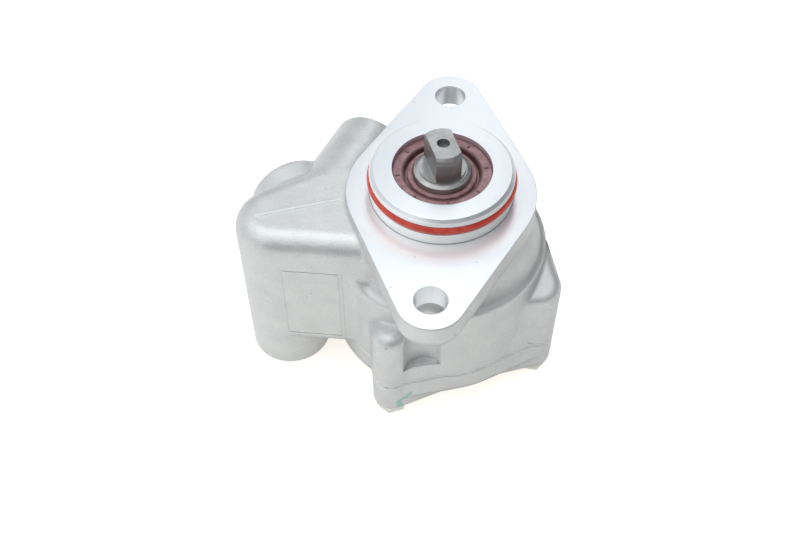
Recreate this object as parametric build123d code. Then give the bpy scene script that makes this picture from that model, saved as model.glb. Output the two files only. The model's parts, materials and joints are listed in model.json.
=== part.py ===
from build123d import *
import math
import os

os.makedirs("parts", exist_ok=True)

# All sizes are millimetres. The frame sits in the middle of the mounting face,
# +Z runs up along the shaft, +Y points from the near bolt hole to the far one,
# and the port block stands out toward -X.

# Mounting flange and pilot
bolt_spacing = 120.0
bolt_hole_dia = 14.0
flange_thickness = 11.0
flange_body_radius = 41.0
ear_radius = 14.2
pilot_dia = 62.0
pilot_height = 13.6
pilot_chamfer = 1.6
pilot_groove_z = 7.9
pilot_groove_width = 4.7
pilot_groove_depth = 3.2

# Round body of the casting
neck_inset = 0.3
neck_sweep_top_z = -15.5
drum_radius = 48.0
shoulder_z = -28.5
drum_edge_round = 2.0
drum_rim_land = 0.3
joint_z = -72.5
joint_relief = 0.35
cavity_radius = 38.5
cavity_top_z = -27.0
tool_scallop_radius = 9.5
tool_scallop_x = -1.9
tool_scallop_depth = 3.2
tool_ledge_z = -62.2

# Corner bosses for the cover screws. Each is set in from the drum by one of two root depths.
screw_circle_outset = 2.5
screw_first_angle = -110.0
screw_count = 4
boss_lobe_radius = 8.5
deep_root = 14.0
shallow_root = 3.0
boss_left_root = [deep_root, shallow_root, shallow_root, shallow_root]
boss_right_root = [deep_root, deep_root, shallow_root, shallow_root]
boss_left_blended = [True, False, False, False]
boss_right_blended = [True, True, False, False]
boss_flank_round = 6.0
boss_sector_width = 44.0
boss_top_z = [-38.3, -35.4, -36.0, -36.0]
boss_top_slope = [0.20, 0.55, 0.62, 0.62]
boss_top_downhill = [165.0, -90.0, 0.0, 90.0]
boss_edge_round = [5.5, 4.5, 4.5, 4.5]
base_flange_height = 34.0
base_flange_taper = 7.5
base_flange_outset = 0.3
screw_dia = 8.0
screw_length = 35.0
screw_end_room = 2.0
screw_head_across_flats = 13.0
screw_head_height = 5.5
screw_collar_height = 1.2
screw_collar_outset = 0.9
screw_turn = 13.0

# Port block
wing_top_z = -5.0
wing_bottom_z = -70.0
wing_front_y = -33.0
wing_back_angle = 34.0
wing_back_reach = 42.0
wing_root_front_x = -12.0
wing_root_back_x = -8.0
wing_rim_end_x = -26.0
wing_rim_end_y = -20.0
wing_top_round = 9.0
wing_blend = 7.0
wing_foot_round = 6.0
post_x = -69.6
post_y = -14.4
post_radius = 18.6
post_bottom_z = -93.0
post_edge_round = 1.5
panel_left = -66.0
panel_right = -41.3
panel_top = -22.5
panel_bottom = -67.0
panel_second_line = 1.6
line_width = 0.5
line_depth = 0.15
ridge_length = 36.0
ridge_width = 0.9
ridge_height = 0.2
ridge_x = -61.0
ridge_y = -11.8
ridge_angle = 20.0

# Valve boss and pressure boss
valve_angle = 70.0
valve_end_outset = 11.15
valve_end_angle = 125.92
valve_z = -24.0
valve_boss_radius = 19.0
valve_boss_length = 70.0
pressure_angle = 120.0
pressure_end_x = -70.8
pressure_end_y = 20.0
pressure_z = -29.0
pressure_boss_radius = 20.0
pressure_boss_length = 42.0
port_edge_round = 2.5

# Threads at the ports, drawn at their outer size, and the oil ways behind them
suction_thread_dia = 26.0
suction_thread_depth = 16.0
suction_way_dia = 20.0
suction_top_z = -44.0
cross_way_dia = 16.0
pressure_thread_dia = 18.0
pressure_thread_depth = 14.0
pressure_way_dia = 9.0
feed_way_dia = 6.0
bypass_way_dia = 8.0
plug_thread_dia = 22.0
plug_thread_depth = 12.0

# Shaft
tang_top_z = 27.5
tang_radius = 10.0
tang_across_flats = 11.0
tang_direction = -68.2
tang_base_z = 14.2
tang_bevel = 1.2
tang_centre_dia = 5.3
tang_centre_depth = 3.0
collar_radius = 12.1
collar_top_z = 13.2
bearing_bore_dia = 20.0
bearing_outer_dia = 47.0
bearing_width = 14.0
bearing_top_z = -1.0
ball_dia = 7.9
ball_count = 8
cage_thickness = 2.4
cage_height = 9.8
spline_root = 8.0
spline_tip = 9.4
spline_count = 8
spline_width = 3.2
end_journal_radius = 7.5
bush_radius = 9.6
bush_depth = 10.0
circlip_thickness = 1.75
circlip_depth = 1.35
shaft_clip_groove = 1.4
shaft_clip_depth = 0.7
rotor_clip_groove = 1.2
rotor_clip_depth = 0.6

# Shaft seal
seal_outer_dia = 42.5
seal_recess = 2.6
seal_width = 8.0
seal_case_height = 5.6
garter_radius = 0.8
garter_circle_radius = 15.2
garter_height = 2.2
seal_tick_count = 8
seal_tick_first_angle = 12.0

# Pumping set. The rotor, cam and dowels keep their distance from the chamber's wall.
plate_chamber_height = 7.0
pressure_plate_thickness = 8.0
cam_ring_width = 16.0
rear_plate_thickness = 5.0
rotor_inset = 13.0
cam_gap = 0.4
cam_rise = 3.0
cam_ring_inset = 2.0
vane_count = 10
vane_height = 8.0
vane_thickness = 1.8
vane_back = 0.25
dowel_dia = 5.0
dowel_inset = 5.9
dowel_angle = 20.0
kidney_inset = 4.0
kidney_width = 5.0
kidney_first_angle = 40.0
kidney_sweep = 60.0
intake_angle = 110.0
intake_width = 20.0
plate_groove_width = 2.8
spring_wall = 1.1

# Rear cover, whose rim is flush with the housing, and the squeezed rings
cover_thickness = 18.0
cover_rim_height = 10.5
cover_inset = 6.5
cover_edge_bevel = 0.5
ring_groove_width = 3.0
ring_groove_depth = 2.2
ring_width = 2.8
cover_groove_above = 3.0

# Flow valve
spool_dia = 17.0
spool_length = 26.0
spring_chamber = 18.0
bore_beyond_spool = 14.0
spring_wire = 1.6
spring_turns = 6
spool_wall = 2.4
spring_pocket_depth = 9.0
spool_waist_depth = 2.2
spool_groove_depth = 0.5
plug_collar_radius = 12.4
plug_collar_height = 3.5
plug_socket_across_flats = 10.0
plug_pocket_depth = 3.0
plug_pocket_room = 0.3
plug_neck_depth = 1.0
washer_thickness = 1.5
washer_outset = 0.6
relief_ball_dia = 5.0
relief_bore_radius = 2.9
relief_hole_radius = 1.5
relief_seat_depth = 7.0
relief_wire = 0.8
relief_turns = 4
relief_cup_thickness = 1.0
stop_ring_thickness = 2.0
stop_ring_inner_radius = 5.5

# Clearances
running = 0.05
slip = 0.03
press = 0.02
squeeze_gap = 0.02
loose = 0.5
spring_room = 0.3

# Derived places
ear_y = bolt_spacing / 2
pilot_radius = pilot_dia / 2
neck_radius = flange_body_radius - neck_inset
screw_circle_radius = drum_radius + screw_circle_outset
rotor_radius = cavity_radius - rotor_inset
cam_minor_radius = rotor_radius + cam_gap
cam_outer_radius = cavity_radius - cam_ring_inset
dowel_circle_radius = cavity_radius - dowel_inset
kidney_radius = rotor_radius - kidney_inset
cover_body_radius = drum_radius - cover_inset
rim_bottom_z = joint_z - cover_rim_height
cover_bottom_z = joint_z - cover_thickness
plate_top_z = cavity_top_z - plate_chamber_height
cam_top_z = plate_top_z - pressure_plate_thickness
cam_bottom_z = cam_top_z - cam_ring_width
rear_plate_bottom_z = cam_bottom_z - rear_plate_thickness
bush_bottom_z = rear_plate_bottom_z - bush_depth
rotor_top_z = cam_top_z - running
rotor_bottom_z = cam_bottom_z + running
seal_top_z = pilot_height - seal_recess
seal_bottom_z = seal_top_z - seal_width
seal_radius = seal_outer_dia / 2
bearing_radius = bearing_outer_dia / 2
bearing_bottom_z = bearing_top_z - bearing_width
journal_radius = bearing_bore_dia / 2
screw_radius = screw_dia / 2
dowel_hole_radius = dowel_dia / 2 + slip
screw_angles = [screw_first_angle + 360.0 / screw_count * k for k in range(screw_count)]
dowel_angles = [dowel_angle, dowel_angle + 180.0]
kidney_angles = [kidney_first_angle, kidney_first_angle + 180.0]
intake_angles = [intake_angle, intake_angle + 180.0]


def polar(radius, angle, z=0.0):
    turn = math.radians(angle)
    return (radius * math.cos(turn), radius * math.sin(turn), z)


def disc(radius, low, high, x=0.0, y=0.0):
    return Pos(x, y, low) * Cylinder(radius, high - low, align=(Align.CENTER, Align.CENTER, Align.MIN))


def ring(outer, inner, low, high, x=0.0, y=0.0):
    return disc(outer, low, high, x, y) - disc(inner, low - 1.0, high + 1.0, x, y)


def turned(points):
    return revolve(make_face(Plane.XZ * Polyline(*points, close=True)), Axis.Z)


def torus_at(radius, section_radius, z):
    return Pos(0, 0, z) * Torus(radius, section_radius)


def rod(start, end, radius):
    axis = Vector(*end) - Vector(*start)
    plane = Plane(origin=start, z_dir=axis)
    return plane * Cylinder(radius, axis.length, align=(Align.CENTER, Align.CENTER, Align.MIN))


def squeezed_ring(outer, depth, width, z):
    inner = outer - depth
    bevel = depth * 0.3
    half = width / 2
    lower = [(inner, z - half + bevel), (inner + bevel, z - half),
             (outer - bevel, z - half), (outer, z - half + bevel)]
    upper = [(r, 2 * z - height) for r, height in reversed(lower)]
    return turned(lower + upper)


def tangent_strip(left_radius, right_radius, small_radius, x, y, sides=(1, -1)):
    reach = math.hypot(x, y)
    turn = math.atan2(y, x)
    pts = []
    for side in (1, -1):
        root = left_radius if side == 1 else right_radius
        root = root if side in sides else small_radius
        swing = turn + side * math.acos((root - small_radius) / reach)
        nx = math.cos(swing)
        ny = math.sin(swing)
        pair = [(root * nx, root * ny), (x + small_radius * nx, y + small_radius * ny)]
        pts.extend(pair if side == 1 else pair[::-1])
    return make_face(Polyline(*pts, close=True))


def lobed_outline(body_radius, lobe_radius):
    outline = Circle(body_radius)
    for index, angle in enumerate(screw_angles):
        x, y, _ = polar(screw_circle_radius, angle)
        sides = (1,) if index == 0 else (1, -1)
        outline += Pos(x, y) * Circle(lobe_radius)
        outline += tangent_strip(body_radius, body_radius, lobe_radius, x, y, sides)
    return outline


def side_plane(x, y, z, angle):
    outward = (math.cos(math.radians(angle)), math.sin(math.radians(angle)), 0)
    return Plane(origin=(x, y, z), x_dir=(-outward[1], outward[0], 0), z_dir=outward)


def along(plane, radius, start, end):
    return plane * disc(radius, start, end)


valve_end_x, valve_end_y, _ = polar(drum_radius + valve_end_outset, valve_end_angle)
valve_plane = side_plane(valve_end_x, valve_end_y, valve_z, valve_angle)
pressure_plane = side_plane(pressure_end_x, pressure_end_y, pressure_z, pressure_angle)

# Housing casting: one turned body whose neck sweeps out into the shoulder of the drum
sweep_end_radius = drum_radius - drum_edge_round - drum_rim_land
sweep_height = neck_sweep_top_z - shoulder_z
sweep_spread = sweep_end_radius - neck_radius
sweep_radius = (sweep_spread ** 2 + sweep_height ** 2) / (2 * sweep_spread)
sweep_turn = math.atan2(sweep_height, sweep_radius - sweep_spread)
sweep_middle = (neck_radius + sweep_radius * (1 - math.cos(sweep_turn / 2)),
                neck_sweep_top_z - sweep_radius * math.sin(sweep_turn / 2))
straight_sides = Polyline(
    (neck_radius, neck_sweep_top_z), (neck_radius, -flange_thickness / 2), (0, -flange_thickness / 2),
    (0, rim_bottom_z), (drum_radius, rim_bottom_z), (drum_radius, shoulder_z), (sweep_end_radius, shoulder_z))
neck_sweep = ThreePointArc((sweep_end_radius, shoulder_z), sweep_middle, (neck_radius, neck_sweep_top_z))
profile = make_face(straight_sides + neck_sweep)
rim_corner = [v for v in profile.vertices() if abs(v.X - drum_radius) < 0.01 and abs(v.Y - shoulder_z) < 0.01]
profile = fillet(rim_corner, drum_edge_round)
body = revolve(Plane.XZ * profile, Axis.Z)

drum_wall = drum_radius - 0.1


def boss_outline(index):
    angle = screw_angles[index]
    bx, by, _ = polar(screw_circle_radius, angle)
    outline = Circle(drum_wall) + Pos(bx, by) * Circle(boss_lobe_radius)
    left_radius = drum_radius - boss_left_root[index]
    right_radius = drum_radius - boss_right_root[index]
    outline += tangent_strip(left_radius, right_radius, boss_lobe_radius, bx, by)
    corners = []
    for v in outline.vertices():
        offset = (math.degrees(math.atan2(v.Y, v.X)) - angle + 180.0) % 360.0 - 180.0
        blended = boss_left_blended[index] if offset > 0 else boss_right_blended[index]
        if blended and abs(offset) < 60.0 and abs(math.hypot(v.X, v.Y) - drum_wall) < 0.02:
            corners.append(v)
    if corners:
        outline = fillet(corners, boss_flank_round)
    outer_edge = screw_circle_radius + boss_lobe_radius + 1.0
    inner_edge = drum_radius - boss_lobe_radius
    sector = Pos((outer_edge + inner_edge) / 2, 0) * Rectangle(outer_edge - inner_edge, boss_sector_width)
    return outline & Rot(0, 0, angle) * sector


# Corner bosses with blended flanks and sloped, rounded tops
cutter_size = 3 * drum_radius
for index, angle in enumerate(screw_angles):
    bx, by, _ = polar(screw_circle_radius, angle)
    boss_centre = Vector(bx, by, boss_top_z[index])
    column_height = shoulder_z - drum_edge_round - rim_bottom_z
    column = Pos(0, 0, rim_bottom_z) * extrude(boss_outline(index), column_height)
    tilt = math.degrees(math.atan(boss_top_slope[index]))
    cutter = Pos(*boss_centre) * Rot(0, 0, boss_top_downhill[index]) * Rot(0, tilt, 0)
    column -= cutter * (Pos(0, 0, cutter_size / 2) * Box(cutter_size, cutter_size, cutter_size))
    normal = Vector(math.sin(math.radians(tilt)), 0, math.cos(math.radians(tilt))).rotate(
        Axis.Z, boss_top_downhill[index])
    rims = []
    for e in column.edges():
        mid = e.position_at(0.5)
        if abs((mid - boss_centre).dot(normal)) < 0.01 and math.hypot(mid.X, mid.Y) > drum_radius + 0.3:
            rims.append(e)
    body += fillet(rims, boss_edge_round[index])

# Flared, lobed base. Below the joint the same form is the rear cover's rim.
base_outline = lobed_outline(drum_radius + base_flange_outset, boss_lobe_radius + 0.1)
body += Pos(0, 0, rim_bottom_z) * extrude(base_outline, base_flange_height, taper=base_flange_taper)
slab_width = 2 * cutter_size
rim_slab = Pos(0, 0, (rim_bottom_z + joint_z) / 2) * Box(slab_width, slab_width, cover_rim_height)
cover_rim = body & rim_slab
body -= rim_slab

# Port block with its upright post
back = math.radians(wing_back_angle)
back_x = post_x - post_radius * math.sin(back)
back_y = post_y + post_radius * math.cos(back)
wing_outline = make_face(Polyline(
    (post_x, wing_front_y), (wing_root_front_x, wing_front_y), (wing_root_back_x, 0),
    (back_x + wing_back_reach * math.cos(back), back_y + wing_back_reach * math.sin(back)),
    (back_x, back_y), (post_x, post_y), close=True))
wing_outline += Pos(post_x, post_y) * Circle(post_radius)
wing = Pos(0, 0, wing_bottom_z) * extrude(wing_outline, wing_top_z - wing_bottom_z)
top_rim = wing.edges().filter_by_position(Axis.Z, wing_top_z - 0.01, wing_top_z + 0.01)
top_rim = [e for e in top_rim if e.center().X < wing_rim_end_x or e.center().Y < wing_rim_end_y]
wing = fillet(top_rim, wing_top_round)
post = disc(post_radius, post_bottom_z, wing_bottom_z + 1.0, post_x, post_y)
wing += fillet(post.edges().group_by(Axis.Z)[0], post_edge_round)

# Blend from the front of the port block round onto the drum, with the drum's rounded rim
corner_x = -math.sqrt(drum_wall ** 2 - wing_front_y ** 2)
blend_outline = Circle(drum_wall) + wing_outline
corner = [v for v in blend_outline.vertices() if math.hypot(v.X - corner_x, v.Y - wing_front_y) < 0.5]
blend_outline = fillet(corner, wing_blend)
window = 4.0 * wing_blend
blend_outline = blend_outline & (Pos(corner_x, wing_front_y) * Rectangle(window, window))
blend = Pos(0, 0, wing_bottom_z) * extrude(blend_outline, shoulder_z - wing_bottom_z)
blend_rim = []
for e in blend.edges().group_by(Axis.Z)[-1]:
    mid = e.position_at(0.5)
    if max(abs(mid.X - corner_x), abs(mid.Y - wing_front_y)) < window / 2 - 0.01:
        blend_rim.append(e)
body += fillet(blend_rim, drum_edge_round)

# Rounded foot where the front of the port block runs down into the shoulder
foot_y = wing_front_y - wing_foot_round
foot_z = shoulder_z + wing_foot_round
foot = Pos(corner_x, wing_front_y - wing_foot_round / 2, shoulder_z + wing_foot_round / 2) * Box(
    window, wing_foot_round, wing_foot_round)
foot -= Pos(corner_x, foot_y, foot_z) * Rot(0, 90, 0) * Cylinder(wing_foot_round, window + 2.0)
body += foot & (Pos(0, 0, shoulder_z - 1.0) * extrude(blend_outline, wing_foot_round + 2.0))

valve_boss = disc(valve_boss_radius, -valve_boss_length, 0.0)
valve_boss = valve_plane * fillet(valve_boss.edges().group_by(Axis.Z)[-1], port_edge_round)
pressure_boss = disc(pressure_boss_radius, -pressure_boss_length, 0.0)
pressure_boss = pressure_plane * fillet(pressure_boss.edges().group_by(Axis.Z)[-1], port_edge_round)

# Flange plate with its two ears
flange_outline = Circle(flange_body_radius)
for side in (-1, 1):
    flange_outline += Pos(0, side * ear_y) * Circle(ear_radius)
    flange_outline += tangent_strip(flange_body_radius, flange_body_radius, ear_radius, 0, side * ear_y)
flange = Pos(0, 0, -flange_thickness) * extrude(flange_outline, flange_thickness)

housing = body + wing + valve_boss + pressure_boss
housing -= Pos(0, 0, -flange_thickness) * extrude(flange_outline, 40.0)
housing += flange

# Pilot with its chamfer and ring groove
pilot = turned([
    (0, -1.0), (pilot_radius, -1.0), (pilot_radius, pilot_height - pilot_chamfer),
    (pilot_radius - pilot_chamfer, pilot_height), (0, pilot_height)])
pilot -= ring(pilot_radius + 2.0, pilot_radius - pilot_groove_depth,
              pilot_groove_z - pilot_groove_width / 2, pilot_groove_z + pilot_groove_width / 2)
housing += pilot

# Bolt holes and the tool reliefs below the ears
for side in (-1, 1):
    housing -= disc(bolt_hole_dia / 2, -flange_thickness - 1.0, 1.0, 0, side * ear_y)
scallop_y = drum_radius - tool_scallop_depth + tool_scallop_radius
housing -= disc(tool_scallop_radius, tool_ledge_z, -flange_thickness, tool_scallop_x, -scallop_y)
housing -= disc(tool_scallop_radius, tool_ledge_z, -flange_thickness, 0, scallop_y)

# Inside bores: seal seat, bearing seat, shaft clearance, pumping chamber
housing -= disc(seal_radius, seal_bottom_z - 0.2, pilot_height + 1.0)
housing -= disc(seal_radius - 3.5, bearing_top_z, seal_bottom_z)
housing -= disc(bearing_radius, bearing_bottom_z - circlip_thickness - 2.5, bearing_top_z)
clip_groove_low = bearing_bottom_z - circlip_thickness - running
housing -= disc(bearing_radius + circlip_depth + slip, clip_groove_low, bearing_bottom_z)
housing -= disc(bearing_radius - press, cavity_top_z - 1.0, bearing_bottom_z)
housing -= disc(cavity_radius, joint_z - 1.0, cavity_top_z)
screw_hole_end_z = cover_bottom_z + screw_length + screw_end_room
for angle in screw_angles:
    bx, by, _ = polar(screw_circle_radius, angle)
    housing -= disc(screw_radius + slip, joint_z - 1.0, screw_hole_end_z, bx, by)

# Suction way: port in the post, upright passage, cross way to the chamber
chamber_entry_x = -(cavity_radius - 4.5)
cross_way_z = suction_top_z - suction_way_dia / 2 + 1.0
suction_thread_top_z = post_bottom_z + suction_thread_depth
housing -= disc(suction_thread_dia / 2, post_bottom_z - 1.0, suction_thread_top_z, post_x, post_y)
housing -= disc(suction_way_dia / 2, post_bottom_z, suction_top_z, post_x, post_y)
housing -= rod((post_x, post_y, cross_way_z), (chamber_entry_x, -4.0, cross_way_z), cross_way_dia / 2)

# Valve bore, plug thread, pressure port and their cross ways
bore_radius = spool_dia / 2 + running
spool_back = plug_thread_depth + spring_chamber
spool_front = spool_back + spool_length
bore_end = spool_front + bore_beyond_spool
housing -= along(valve_plane, plug_thread_dia / 2, -plug_thread_depth, 1.0)
housing -= along(valve_plane, bore_radius, -bore_end, 0.0)
housing -= along(pressure_plane, pressure_thread_dia / 2, -pressure_thread_depth, 1.0)
way_start = pressure_plane.from_local_coords((0, 0, -pressure_thread_depth))
way_end = valve_plane.from_local_coords((0, 0, 6.0 - bore_end))
housing -= rod(tuple(way_start), tuple(way_end), pressure_way_dia / 2)
feed_start = valve_plane.from_local_coords((0, 0, 5.0 - bore_end))
feed_z = cavity_top_z - feed_way_dia / 2
housing -= rod((feed_start.X, feed_start.Y, feed_z), (chamber_entry_x + 4.0, -4.0, feed_z), feed_way_dia / 2)
bypass_end = valve_plane.from_local_coords((0, 0, -spool_back - bore_beyond_spool))
bypass_z = suction_top_z - bypass_way_dia / 2
housing -= rod((post_x, post_y, bypass_z), tuple(bypass_end), bypass_way_dia / 2)

# Bare framed panel on the front of the port block and the fine raised parting line on its top
for x in (panel_left, panel_right, panel_right + panel_second_line):
    housing -= Pos(x, wing_front_y, (panel_top + panel_bottom) / 2) * Box(
        line_width, 2 * line_depth, panel_top - panel_bottom + line_width)
for z in (panel_top, panel_bottom):
    housing -= Pos((panel_left + panel_right) / 2, wing_front_y, z) * Box(
        panel_right - panel_left + line_width, 2 * line_depth, line_width)
housing += Pos(ridge_x, ridge_y, wing_top_z) * Rot(0, 0, ridge_angle) * Box(
    ridge_length, ridge_width, 2 * ridge_height)

export_step(housing, "parts/housing.step")

# Rear cover: a flush rim with a fine relief along the joint, a lobed plate below it,
# the locating spigot, the ring groove and the shaft pocket
joint_face = cover_rim.faces().sort_by(Axis.Z)[-1]
cover = cover_rim - Pos(0, 0, joint_z) * Box(slab_width, slab_width, 2 * joint_relief)
cover += extrude(offset(joint_face, amount=-joint_relief), -2 * joint_relief)
plate_height = rim_bottom_z + cover_rim_height / 2 - cover_bottom_z
plate_outline = lobed_outline(cover_body_radius, boss_lobe_radius)
cover_plate = Pos(0, 0, cover_bottom_z) * extrude(plate_outline, plate_height)
cover += chamfer(cover_plate.edges().group_by(Axis.Z)[0], cover_edge_bevel)
spigot_radius = cavity_radius - slip
cover += disc(spigot_radius, joint_z - 0.5, rear_plate_bottom_z)
cover_groove_z = joint_z + cover_groove_above
cover -= ring(spigot_radius + 1.0, spigot_radius - ring_groove_depth,
              cover_groove_z - ring_groove_width / 2, cover_groove_z + ring_groove_width / 2)
cover -= disc(bush_radius, bush_bottom_z, rear_plate_bottom_z + 1.0)
cover -= disc(end_journal_radius - 1.5, bush_bottom_z - 2.5, rear_plate_bottom_z)
for angle in screw_angles:
    bx, by, _ = polar(screw_circle_radius, angle)
    cover -= disc(screw_radius + loose, cover_bottom_z - 1.0, joint_z + 1.0, bx, by)
for angle in dowel_angles:
    px, py, _ = polar(dowel_circle_radius, angle)
    cover -= disc(dowel_hole_radius, rear_plate_bottom_z - 5.0, rear_plate_bottom_z + 1.0, px, py)
cover_pocket = Pos(rotor_radius - 0.5, 0, rear_plate_bottom_z) * Box(9.0, intake_width + 4.0, 8.0)
for angle in intake_angles:
    cover -= Rot(0, 0, angle) * cover_pocket
export_step(cover, "parts/rear_cover.step")

# Cover screws with flanged hexagon heads
screws = []
for angle in screw_angles:
    bx, by, _ = polar(screw_circle_radius, angle)
    head = Pos(0, 0, cover_bottom_z - screw_head_height) * extrude(
        RegularPolygon(screw_head_across_flats / 2, 6, major_radius=False), screw_head_height)
    collar_low = cover_bottom_z - screw_collar_height
    head += disc(screw_head_across_flats / 2 + screw_collar_outset, collar_low, cover_bottom_z)
    shank = disc(screw_radius, cover_bottom_z - 0.5, cover_bottom_z + screw_length)
    shank = chamfer(shank.edges().group_by(Axis.Z)[-1], 1.0)
    screws.append(Pos(bx, by) * Rot(0, 0, angle + screw_turn) * (head + shank))
export_step(Compound(children=screws), "parts/cover_screws.step")

# Rings drawn squeezed between groove floor and bore: the cover's, and the pilot's
squeezed_depth = ring_groove_depth + slip - 2 * squeeze_gap
cover_ring = squeezed_ring(cavity_radius - squeeze_gap, squeezed_depth, ring_width, cover_groove_z)
export_step(cover_ring, "parts/cover_o_ring.step")
pilot_ring = squeezed_ring(pilot_radius - squeeze_gap, pilot_groove_depth - 2 * squeeze_gap,
                           pilot_groove_width - 2 * slip, pilot_groove_z)
export_step(pilot_ring, "parts/pilot_o_ring.step")

# Drive shaft: tang, seal collar, bearing seat, rotor splines, end journal
shaft_end_z = bush_bottom_z + 1.0
clip_bottom_z = bearing_bottom_z - shaft_clip_groove
neck_land_z = bearing_bottom_z - 3.5
ridge_z = tang_top_z - 3.0
shaft = turned([
    (0, tang_top_z), (tang_radius - tang_bevel, tang_top_z), (tang_radius, tang_top_z - tang_bevel),
    (tang_radius, ridge_z + 0.2), (tang_radius - 0.35, ridge_z), (tang_radius, ridge_z - 0.2),
    (tang_radius, collar_top_z), (collar_radius - 1.5, collar_top_z), (collar_radius, collar_top_z - 0.9),
    (collar_radius, bearing_top_z), (journal_radius, bearing_top_z), (journal_radius, bearing_bottom_z),
    (journal_radius - shaft_clip_depth, bearing_bottom_z), (journal_radius - shaft_clip_depth, clip_bottom_z),
    (journal_radius, clip_bottom_z), (journal_radius, neck_land_z),
    (spline_tip, neck_land_z - 0.6), (spline_tip, plate_top_z), (spline_root, plate_top_z - 1.4),
    (spline_root, rotor_bottom_z - 0.2), (end_journal_radius, rotor_bottom_z - 0.7),
    (end_journal_radius, shaft_end_z + 0.8), (end_journal_radius - 0.8, shaft_end_z), (0, shaft_end_z)])
spline_middle_z = (plate_top_z + rotor_bottom_z) / 2
for k in range(spline_count):
    spline = Pos((spline_root + spline_tip) / 2 - 1.0, 0, spline_middle_z) * Box(
        spline_tip - spline_root + 1.6, spline_width, plate_top_z - rotor_bottom_z)
    shaft += Rot(0, 0, 360.0 / spline_count * k) * spline
tang_height = tang_top_z - tang_base_z
for side in (-1, 1):
    beside = Pos(0, side * (tang_across_flats + tang_radius) / 2, tang_base_z + tang_height / 2 + 1.0) * Box(
        3 * tang_radius, tang_radius, tang_height + 2.0)
    shaft -= Rot(0, 0, tang_direction) * beside
shaft -= disc(tang_centre_dia / 2, tang_top_z - tang_centre_depth, tang_top_z + 1.0)
rotor_clip_z = rotor_bottom_z - 2.2
shaft -= ring(end_journal_radius + 1.0, end_journal_radius - rotor_clip_depth,
              rotor_clip_z - rotor_clip_groove / 2, rotor_clip_z + rotor_clip_groove / 2)
export_step(shaft, "parts/drive_shaft.step")

# Shaft seal: rubber ring with lip, steel case ring and garter spring
lip_radius = collar_radius + slip
seal_case_top = seal_bottom_z + seal_case_height
garter_z = seal_bottom_z + garter_height
case_outer = seal_radius - 0.55
case_wall = case_outer - 0.8
case_inner = seal_radius - 4.85
dust_lip = collar_radius + 2.1
seal = turned([
    (seal_radius - press, seal_bottom_z + press), (seal_radius - press, seal_top_z - 0.5),
    (seal_radius - 0.5, seal_top_z), (case_inner + 0.2, seal_top_z), (case_inner - 0.2, seal_top_z - 0.4),
    (case_inner - 0.5, seal_top_z - 2.6), (dust_lip + 0.8, seal_top_z - 2.6),
    (dust_lip + 0.5, seal_top_z - 0.9), (dust_lip, seal_top_z - 0.5), (collar_radius + 0.9, seal_top_z - 0.7),
    (lip_radius, seal_top_z - 1.6), (lip_radius + 0.25, seal_top_z - 3.2), (lip_radius, seal_top_z - 5.2),
    (lip_radius + 0.9, seal_bottom_z + 1.4), (garter_circle_radius, seal_bottom_z + 1.2),
    (garter_circle_radius, seal_top_z - 4.2),
    (case_inner, seal_top_z - 4.2), (case_inner, seal_bottom_z + 0.9), (case_wall, seal_bottom_z + 0.9),
    (case_wall, seal_case_top), (case_outer, seal_case_top), (case_outer, seal_bottom_z + press)])
seal -= torus_at(garter_circle_radius, garter_radius + slip, garter_z)
for k in range(seal_tick_count):
    tick = Pos(seal_radius - 2.05, 0, seal_top_z) * Box(1.9, 0.7, 0.5)
    seal += Rot(0, 0, 360.0 / seal_tick_count * k + seal_tick_first_angle) * tick
export_step(seal, "parts/shaft_seal.step")
case = turned([
    (case_outer - 0.04, seal_bottom_z + 0.04), (case_outer - 0.04, seal_case_top - 0.04),
    (case_wall + 0.04, seal_case_top - 0.04), (case_wall + 0.04, seal_bottom_z + 0.86),
    (case_inner + 0.2, seal_bottom_z + 0.86), (case_inner + 0.2, seal_bottom_z + 0.04)])
export_step(case, "parts/seal_case.step")
export_step(torus_at(garter_circle_radius, garter_radius, garter_z), "parts/garter_spring.step")

# Shaft bearing
pitch_radius = (journal_radius + bearing_radius) / 2
ball_radius = ball_dia / 2
race_groove_radius = ball_radius * 1.03 + 0.02
bearing_mid_z = (bearing_top_z + bearing_bottom_z) / 2
race_wall = (bearing_radius - journal_radius - 1.16 * ball_radius) / 2
race_low = bearing_bottom_z + 0.02
race_high = bearing_top_z - 0.02
race_groove = torus_at(pitch_radius, race_groove_radius, bearing_mid_z)
outer_race = ring(bearing_radius - press, bearing_radius - race_wall, race_low, race_high) - race_groove
export_step(outer_race, "parts/bearing_outer_race.step")
inner_race = ring(journal_radius + race_wall, journal_radius + 0.005, race_low, race_high) - race_groove
export_step(inner_race, "parts/bearing_inner_race.step")
balls = [Rot(0, 0, 360.0 / ball_count * k) * (Pos(pitch_radius, 0, bearing_mid_z) * Sphere(ball_radius))
         for k in range(ball_count)]
export_step(Compound(children=balls), "parts/bearing_balls.step")
cage = ring(pitch_radius + cage_thickness / 2, pitch_radius - cage_thickness / 2,
            bearing_mid_z - cage_height / 2, bearing_mid_z + cage_height / 2)
for k in range(ball_count):
    cage -= Rot(0, 0, 360.0 / ball_count * k) * rod(
        (pitch_radius - 4.0, 0, bearing_mid_z), (pitch_radius + 4.0, 0, bearing_mid_z), ball_radius + 0.08)
export_step(cage, "parts/bearing_cage.step")


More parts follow.
